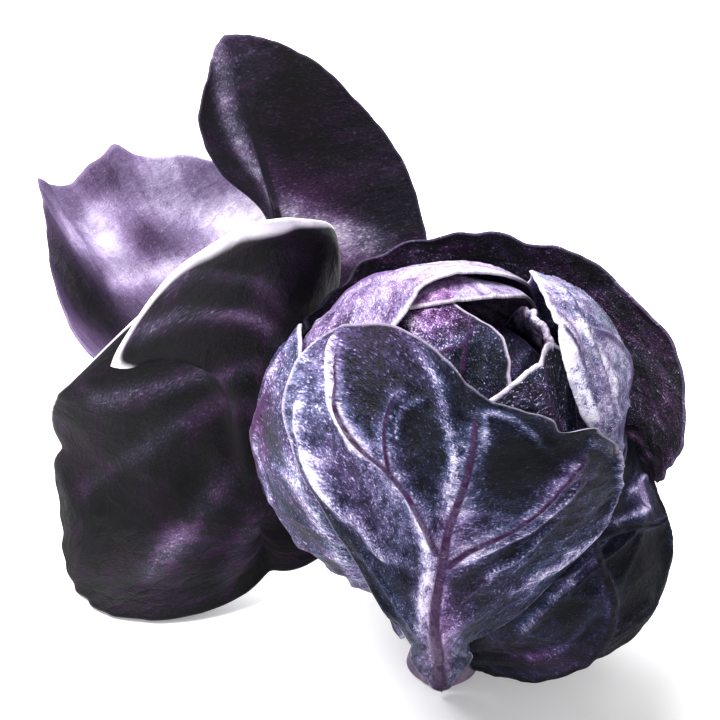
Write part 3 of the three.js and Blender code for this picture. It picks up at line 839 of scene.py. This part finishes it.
frontLeaf = dict(
    node="wrapper_leaf_front", slot="wrapper_leaf", net=195, seed=1,
    turn=-90, skew=-14, foot=150, top=18, layer=1.07,
    side=[[40, 14, 25, 43, 52], [40, 12, 62, 71, 106]], rise=[0.1, 0, 0, 0],
    reach=[0.83, 0.98, 0.93, 0.98, 1, 0.98, 1.03, 1.42],
    scallops=[(0.008, 15, 1), (0.006, 41, 3)], ruffles=[(0.012, 12, 6), (0.004, 29, 2)],
    lobes=[(23, -0.07, 3.5), (27.5, 0.05, 2.2)],
    rimWidth=[0.22, 0.3, 0.5, 0.4, 0.35, *[0.3] * 8, 0.35, 0.35, 0.3],
    veins=[
        ([(-0.97, 0), (-0.6, -0.1), (-0.32, -0.12), (-0.18, -0.07), (-0.03, 0), (0.2, 0.02),
          (0.48, 0.05), (0.76, 0.02), (0.93, 0.01)], 0.72, 1),
        ([(0.1, -0.04), (0.27, -0.19), (0.39, -0.37), (0.44, -0.5), (0.53, -0.58), (0.69, -0.58),
          (0.82, -0.56)], 0.36, 0.95),
        ([(0.38, -0.36), (0.46, -0.38), (0.54, -0.39), (0.63, -0.38), (0.72, -0.33)], 0.34, 0.8),
        ([(0.03, 0.04), (0.11, 0.11), (0.2, 0.28), (0.34, 0.41), (0.54, 0.5),
          (0.68, 0.51)], 0.44, 0.95),
        ([(-0.2, 0.1), (-0.1, 0.2), (-0.04, 0.34), (0.03, 0.45)], 0.3, 0.5),
        ([(-0.7, -0.1), (-0.4, -0.4), (-0.15, -0.7), (0.05, -0.85)], 0.3, 0.5),
    ],
    ridges=[
        ([(-0.4, -0.5), (-0.18, -0.29), (-0.08, -0.2), (0.04, -0.12), (0.13, -0.13), (0.24, -0.19),
          (0.36, -0.36)], 0.55, 1),
        ([(0.38, -0.48), (0.45, -0.55), (0.52, -0.6), (0.62, -0.62), (0.74, -0.6),
          (0.85, -0.57)], 0.45, 1),
        ([(0.9, -0.37), (0.86, -0.27), (0.8, -0.2), (0.69, -0.12), (0.6, -0.04), (0.46, -0.01),
          (0.3, -0.03)], 0.6, 1),
        ([(0.48, -0.33), (0.6, -0.34), (0.69, -0.29), (0.73, -0.24)], 0.35, 0.7),
        ([(0.5, 0.09), (0.7, 0.07), (0.87, 0.04), (0.9, 0.09), (0.85, 0.18), (0.73, 0.29),
          (0.58, 0.39)], 0.4, 0.8),
        ([(0.02, 0.07), (0.07, 0.13), (0.13, 0.28), (0.18, 0.37), (0.28, 0.46), (0.4, 0.58),
          (0.5, 0.68)], 0.4, 0.85),
        ([(-0.14, 0.28), (-0.05, 0.24), (0, 0.32), (0.06, 0.4), (0.14, 0.46), (0.24, 0.55)], 0.35, 0.7),
        ([(0.6, -0.7), (0.52, -0.76), (0.41, -0.83), (0.3, -0.85), (0.22, -0.83), (0.14, -0.69),
          (0.05, -0.6), (0.03, -0.42), (-0.02, -0.22)], 0.6, 1),
        ([(0.75, 0.72), (0.6, 0.78), (0.45, 0.86), (0.3, 0.92), (0.1, 0.93), (-0.1, 0.8), (-0.17, 0.5),
          (-0.15, 0.3)], 0.5, 0.9),
        ([(0.8, 0.45), (0.72, 0.52), (0.68, 0.62), (0.6, 0.68)], 0.5, 0.7),
    ],
    patches=[(0.62, 0.24, 0.19, -0.3), (0.45, 0.2, 0.14, -0.08), (0.27, 0.13, 0.14, 0.12),
             (0.6, -0.27, 0.12, -0.16), (0.41, -0.2, 0.1, -0.12), (0.66, -0.47, 0.12, -0.16),
             (0.84, -0.08, 0.12, -0.14), (0.11, 0.27, 0.08, -0.14), (-0.07, 0.1, 0.1, -0.22),
             (-0.12, 0.65, 0.18, 0.22), (0.4, -0.82, 0.14, 0.28), (0.66, 0.58, 0.06, -0.25),
             (-0.06, -0.38, 0.12, -0.15), (-0.17, -0.2, 0.1, 0.2), (0.66, -0.72, 0.14, 0.4),
             (0.5, -0.72, 0.1, -0.06), (0.3, -0.6, 0.22, 0.22), (0.15, -0.35, 0.14, 0.2),
             (0.25, 0.68, 0.12, 0.06)],
    blushes=[(0.2, 0.02, 0.12, 0.3), (-0.2, 0, 0.25, 0.4), (0.5, 0.5, 0.2, 0.25),
             (0.85, -0.5, 0.2, 0.4), (-0.6, -0.1, 0.3, 0.6), (0.3, -0.65, 0.2, 0.2)],
    relief=dict(veinHeight=0.45, flankShare=0.8, ridgeHeight=0.6, puckerDepth=0.65, puckerSize=4,
                cellDepth=0.22, cellSize=2.6),
    ribSwell=0.1,
)
dress(frontLeaf, "front leaf",
    vein="300f38", rimPale=0.4, mottle=0.9, grain=0.85, bloom=0.3, frost=0.4, fleck=0.55, lift=0.2,
    blush=0.1)

backRightLeaf = dict(
    node="wrapper_leaf_back_right", slot="wrapper_leaf", net=120, seed=8,
    turn=17, skew=-10, foot=145, top=17, layer=1,
    side=[[30, 45, 36, 43], [30, 50, 46, 41]], rise=[-0.05, -0.07, -0.01, 0.02],
    reach=[1, 1.15, 1, 1, 1, 1, 1, 1.05], bumps=[(0.1, 0.37, 0.26, 0.5)], lobes=[(52, -0.07, 14)],
    scallops=[(0.006, 11, 9), fineTeeth], ruffles=[(0.006, 9, 1)],
    veins=[
        ([(0.98, 0.1), (0.9, -0.1), (0.8, -0.44), (0.59, -0.76)], 0.4, 0.7),
        ([(0.82, 0.29), (0.81, -0.04), (0.63, -0.4), (0.44, -0.76)], 0.4, 0.7),
        ([(1, -0.02), (0.92, -0.15), (0.88, -0.27), (0.8, -0.4)], 0.35, 0.9),
        ([(0.96, 0.05), (0.86, -0.18), (0.67, -0.42), (0.5, -0.62)], 0.5, 0.6),
    ] + feather(6, -0.6, 0.6, 0.45, 0.5),
    ridges=[
        ([(0.98, -0.12), (0.9, -0.34), (0.78, -0.55), (0.6, -0.75)], 0.7, 0.8),
        ([(0.9, 0.15), (0.76, -0.1), (0.6, -0.3), (0.42, -0.5)], 0.8, 0.6),
    ],
    patches=[(0.89, 0.35, 0.15, 0.15), (0.97, -0.04, 0.12, 0.15), (0.8, 0.5, 0.12, 0.15),
             (0.7, 0.05, 0.15, -0.15)],
    relief=dict(puckerDepth=0.35, cellDepth=0.08),
)
dress(backRightLeaf, "back right leaf",
    vein="4a3a66", rim="f0e9f8", base=0.52, mottle=0.9, streak=0.6, grain=0.9, bloom=0.15, blush=0.3)

backWrap = dict(
    node="wrapper_leaf_back", slot="wrapper_leaf", net=120, seed=9,
    turn=137, skew=0, foot=150, top=25, layer=0.95,
    side=[[50, 50, 60, 60], [30, 30, 24, 40, 50]], rise=[0.02, 0, 0, 0.02],
    reach=[0.95, 1.35, 1, 1, 1, 1, 1.05, 1.42],
    scallops=[(0.006, 12, 6), fineTeeth], ruffles=[(0.006, 9, 3)],
    veins=feather(6, -0.6, 0.7, 0.45, 0.4),
    # Pale patches along the top: painted light where the top light falls.
    patches=[(0.89, -0.06, 0.14, 0.2), (0.87, -0.22, 0.14, 0.2), (0.93, -0.32, 0.12, 0.2)],
    blushes=[(0.5, 0.2, 0.3, 0.1)],
    relief=dict(veinHeight=0.25, puckerDepth=0.3, puckerSize=4),
)
dress(backWrap, "back wrapper leaf",
    tones=paleAndLitTones, vein="6a4f86", rim="fbf7fd", base=0.4, mottle=1, grain=1.1, bloom=0.12, blush=0.35)

# The crown leaves
crownRelief = dict(veinHeight=0.2, puckerDepth=0.2, puckerSize=4, cellDepth=0.1)

crownRight = dict(
    node="crown_leaf_right", slot="crown_leaf", net=90, seed=10,
    turn=-41, skew=2, foot=140, top=10, layer=0.89,
    side=[[40, 35, 50, 50], [40, 37, 9, 31]], rise=[0, 0],
    reach=[0.9, 1.2, 1.1, 1, 1, 1, 1, 1], lobes=[(17, -0.06, 10)], scallops=[(0.005, 31, 4)],
    veins=feather(5, -0.6, 0.6, 0.4, 0.5),
    relief=crownRelief,
)
dress(crownRight, "right crown leaf",
    vein="2a1c38", rim="e0d6ec", rimPale=0.8, base=0.16, mottle=1.1, grain=1.8, blush=0.35)

crownLeft = dict(
    node="crown_leaf_left", slot="crown_leaf", net=100, seed=11,
    turn=-147, skew=0, foot=140, top=-1, layer=0.855,
    side=[[40, 40, 67, 65], [40, 40, 63, 51]], rise=[-0.08, -0.08, -0.03, 0, 0, 0.01, 0.02, 0.035],
    reach=[1.01, 0.98, 1.01, 1, 1, 1, 1, 1], lobes=[(348, -0.05, 9), (330, 0.03, 4)],
    scallops=[(0.004, 11, 3), (0.006, 37, 2)], ruffles=[(0.01, 9, 4), (0.006, 31, 5)],
    veins=[
        ([(0.74, 0.16), (0.78, 0.07), (0.83, -0.02), (0.9, -0.1), (0.96, -0.19)], 0.3, 0.9),
        ([(0.72, 0.14), (0.7, 0.05), (0.68, -0.06), (0.69, -0.2), (0.73, -0.33)], 0.22, 0.6),
        ([(0.83, 0.25), (0.87, 0.12), (0.9, 0.02)], 0.22, 0.5),
    ] + feather(5, -0.6, 0.3, 0.4, 0.5),
    ridges=[
        ([(0.7, 0.12), (0.68, 0.04), (0.65, -0.09), (0.67, -0.23), (0.72, -0.38)], 0.5, 0.8),
        ([(0.92, -0.26), (0.88, -0.2), (0.81, -0.14), (0.76, -0.05)], 0.5, 0.4),
    ],
    patches=[(0.84, -0.38, 0.12, 0.45), (0.72, -0.22, 0.1, 0.3), (0.69, -0.02, 0.07, 0.25),
             (0.8, 0.03, 0.06, -0.3), (0.85, 0.2, 0.12, -0.2), (0.93, 0.02, 0.05, 0.1),
             (0.75, 0.14, 0.06, -0.25), (0.88, -0.12, 0.06, -0.12)],
    blushes=[(0.78, -0.25, 0.2, 0.7), (0.88, 0.15, 0.12, -0.6)],
    relief=dict(veinHeight=0.35, puckerDepth=0.4, puckerSize=3),
)
dress(crownLeft, "left crown leaf",
    vein="2c0d35", rim="ecdcf2", rimPale=0.9, base=0.22, mottle=1, grain=1.3, bloom=0.15, blush=0.2,
    frost=0.35)

crownBack = dict(
    node="crown_leaf_back", slot="crown_leaf", net=90, seed=12,
    turn=110, skew=0, foot=130, top=28, layer=0.815,
    side=[[40, 50, 60, 40]] * 2, rise=[0, 0, 0.05, 0.09],
    reach=[1.2, 1.3, 1, 1, 1, 1, 1, 1.2],
    veins=feather(5, -0.6, 0.7, 0.4, 0.4),
    relief=crownRelief | dict(puckerDepth=0.25),
)
# Its pale base paints light onto the part that the wrapper above shades.
dress(crownBack, "back crown leaf",
    tones=paleAndLitTones, vein="8a5f9c", rim="fbf7fd", base=0.5, mottle=1, bloom=0.1, blush=0.8)

crownCurl = dict(
    node="crown_leaf_curl", slot="crown_leaf", net=90, seed=13,
    turn=31, skew=13, foot=75, top=25, layer=0.75,
    side=[[20, 20, 22, 21], [20, 20, 27, 19]], rise=[0, 0, 0, 0.11],
    reach=[1.02, 0.99, 1.01, 0.98, 1, 1, 1, 1.04],
    scallops=[(0.03, 9, 2), fineTeeth], ruffles=[(0.03, 9, 5), (0.012, 23, 3)],
    hem=[70, 70, 30, 10, 5, 5, 30, 60], hemWidth=0.9, rimWidth=[0.6, 0.5, 0.4, 0.3, 0.3, 0.3, 0.4, 0.5],
    veins=feather(4, -0.6, 0.6, 0.35, 0.4),
    patches=[(0.8, 0, 0.3, 0.3), (0.7, 0.5, 0.2, 0.3), (0.3, 0.4, 0.3, -0.15)],
    relief=dict(veinHeight=0.2, puckerDepth=0.6, puckerSize=2.5, cellDepth=0.2),
)
dress(crownCurl, "curled crown leaf",
    vein="4a3a66", rim="efe2f6", rimPale=0.7, base=0.42, mottle=0.8, blush=0.6)

crownInner = dict(
    node="crown_leaf_inner", slot="crown_leaf", net=80, seed=14,
    turn=-70, skew=0, foot=120, top=-29, layer=0.725,
    side=[[40, 40, 50, 50]] * 2, rise=[0, 0],
    reach=[1] * 8,
    veins=feather(5, -0.6, 0.7, 0.4, 0.5),
    relief=crownRelief,
)
dress(crownInner, "inner crown leaf",
    vein="120d18", rim="8d83a0", base=0.16, mottle=0.8, grain=1.2, blush=0.3)


# A closed surface from a bottom point through level rings of points to a top point.
def ringedMesh(name, bottom, rings, top):
    points = [bottom, *(point for ring in rings for point in ring), top]
    count, last = len(rings[0]), len(points) - 1
    at = lambda i, j: 1 + i * count + j % count
    faces = []
    for j in range(count):
        faces.append((0, at(0, j + 1), at(0, j)))
        faces.append((last, at(len(rings) - 1, j), at(len(rings) - 1, j + 1)))
        for i in range(len(rings) - 1):
            faces.append((at(i, j), at(i, j + 1), at(i + 1, j + 1), at(i + 1, j)))
    return meshObject(name, points, faces)


# The bud in the middle: the egg at a small layer, with the shallow swirl of folded leaves.
heart = dict(layer=0.665, swirls=3, swirlDepth=0.02, rings=90, spokes=160)


def heartPoints(polar, azimuth):
    fold = np.sin(heart["swirls"] * azimuth + 2 * polar) * math.sin(polar)
    direction = np.stack([math.sin(polar) * np.cos(azimuth), math.sin(polar) * np.sin(azimuth),
                          np.full_like(azimuth, math.cos(polar))], -1)
    points = eggPoint(direction, heart["layer"] + heart["swirlDepth"] * fold) * headRadius
    return points.tolist()


def heartMesh():
    azimuth = 2 * math.pi * np.arange(heart["spokes"]) / heart["spokes"]
    polars = [math.pi * i / heart["rings"] for i in range(heart["rings"], -1, -1)]
    bottom, *rings, top = [heartPoints(polar, azimuth) for polar in polars]
    return ringedMesh("heart_bud", bottom[0], rings, top[0])


def plainFinish(name, dark, mid, pale, scale, rough, bumpSize):
    material, graph = startFinish(name)
    place = graph.node("ShaderNodeTexCoord", (), (), "Object")
    coarse = graph.noise(place, scale, 5.0, 0.65, 0.5)
    grain = graph.noise(place, scale * 7, 3.0, 0.7)
    level = coarse * 0.7 + grain * 0.3
    colour = graph.ramp(level, ((0.3, dark), (0.5, mid), (0.72, pale)))
    bump = graph.node("ShaderNodeBump", (), {
        "Height": level, "Strength": 0.7, "Distance": bumpSize * mm})
    roughness = (rough + 0.3 * (grain - 0.5)).clamped()
    endFinish(graph, {"Base Color": colour, "Roughness": roughness, "Normal": bump})
    return material


# The bud's near-black finish also paints the shade in the gaps between the crown leaves.
bud = heartMesh()
bud.data.materials.append(
    plainFinish("bud", "0d0a12", "241d2e", "544a66", scale=160, rough=0.5, bumpSize=0.3))
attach(bud, "root")
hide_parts("heart")

# The stem's profile is its radius and height as shares of its box, from the cut face up.
stem = dict(
    rings=60, spokes=96, ridges=5, ridgeDepth=0.06,
    profile=[(0.0, 0.0), (0.35, 0.0), (0.7, 0.0), (0.88, 0.002), (0.95, 0.02), (1.0, 0.08), (0.97, 0.16),
             (0.84, 0.3), (0.72, 0.45), (0.67, 0.6), (0.45, 0.8), (0.17, 0.99), (0.0, 1.0)],
)


def stemMesh():
    low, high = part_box("stem")
    collar, tall = (high.x - low.x) / 2, high.z - low.z
    t = np.linspace(0, 1, stem["rings"])
    radii, heights = (np.clip(along(values, t), 0, 1) for values in np.array(stem["profile"]).T)
    azimuth = 2 * math.pi * np.arange(stem["spokes"]) / stem["spokes"]
    wave = stem["ridgeDepth"] * (0.5 + 0.5 * wobble(azimuth, stem["ridges"], 4))
    rings = []
    for radius, height in zip(radii[1:-1], heights[1:-1]):
        out = radius * collar * (1 - wave * radius)
        level = np.full_like(azimuth, low.z + height * tall)
        rings.append(np.stack([out * np.cos(azimuth), out * np.sin(azimuth), level], -1).tolist())
    return ringedMesh("stem_butt", (0, 0, low.z), rings, (0, 0, high.z))


butt = stemMesh()
butt.data.materials.append(
    plainFinish("cut stem", "3c2b44", "6c5a76", "9d8d9a", scale=380, rough=0.7, bumpSize=0.35))
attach(butt, "root")
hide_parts("stem")
print("leaves, bud and stem are made")

# A pale floor under a soft sky, with two round lights. Metres and watts.
studio = dict(
    floor=2.0, floorColour="f7f7f8", floorGlow=0.17, sky=0.6,
    key=dict(place=(-0.25, 0.2, 0.6), size=0.7, power=14.0),
    fill=dict(place=(0.3, -0.5, 0.35), size=0.6, power=0.8),
)


# Puts a light or the camera at a place, looking at a target.
def placeFacing(name, data, place, target):
    holder = bpy.data.objects.new(name, data)
    holder.location = place
    holder.rotation_euler = (target - Vector(place)).to_track_quat("-Z", "Y").to_euler()
    bpy.context.scene.collection.objects.link(holder)
    return holder


def areaLight(name, place, size, power):
    lamp = bpy.data.lights.new(name, "AREA")
    lamp.shape = "DISK"
    lamp.size = size
    lamp.energy = power
    placeFacing(name, lamp, place, (cadLow + cadHigh) / 2)


def setStudio():
    half = studio["floor"] / 2
    floor = meshObject("floor", [(-half, -half, 0), (half, -half, 0), (half, half, 0), (-half, half, 0)],
                       [(0, 1, 2, 3)], smooth=False)
    paper, graph = startFinish("paper")
    endFinish(graph, {
        "Base Color": tint(studio["floorColour"]), "Roughness": 0.9, "Specular IOR Level": 0.1,
        "Emission Color": (1, 1, 1, 1), "Emission Strength": studio["floorGlow"]})
    floor.data.materials.append(paper)
    world = bpy.data.worlds.new("soft sky")
    world.use_nodes = True
    sky = Graph(world.node_tree)
    glow = sky.node("ShaderNodeBackground", (), {"Color": (1, 1, 1, 1), "Strength": studio["sky"]})
    sky.node("ShaderNodeOutputWorld", (), {"Surface": glow})
    bpy.context.scene.world = world
    areaLight("window", **studio["key"])
    areaLight("bounce", **studio["fill"])


setStudio()

# Degrees of elevation, millimetres of distance and lens, and the point that it looks at.
camera = dict(elevation=40, distance=300, lens=152.5, aim=(-8.75, 19.2, 22.9))


def setCamera():
    lens = bpy.data.cameras.new("camera")
    lens.lens = camera["lens"]
    lens.clip_start = 0.01
    tilt = math.radians(camera["elevation"])
    place = Vector((0, -math.cos(tilt), math.sin(tilt))) * camera["distance"] * mm
    bpy.context.scene.camera = placeFacing("camera", lens, place, Vector(camera["aim"]) * mm)


setCamera()
bpy.context.scene.view_settings.view_transform = "Standard"

print("floor, lights and camera are set")
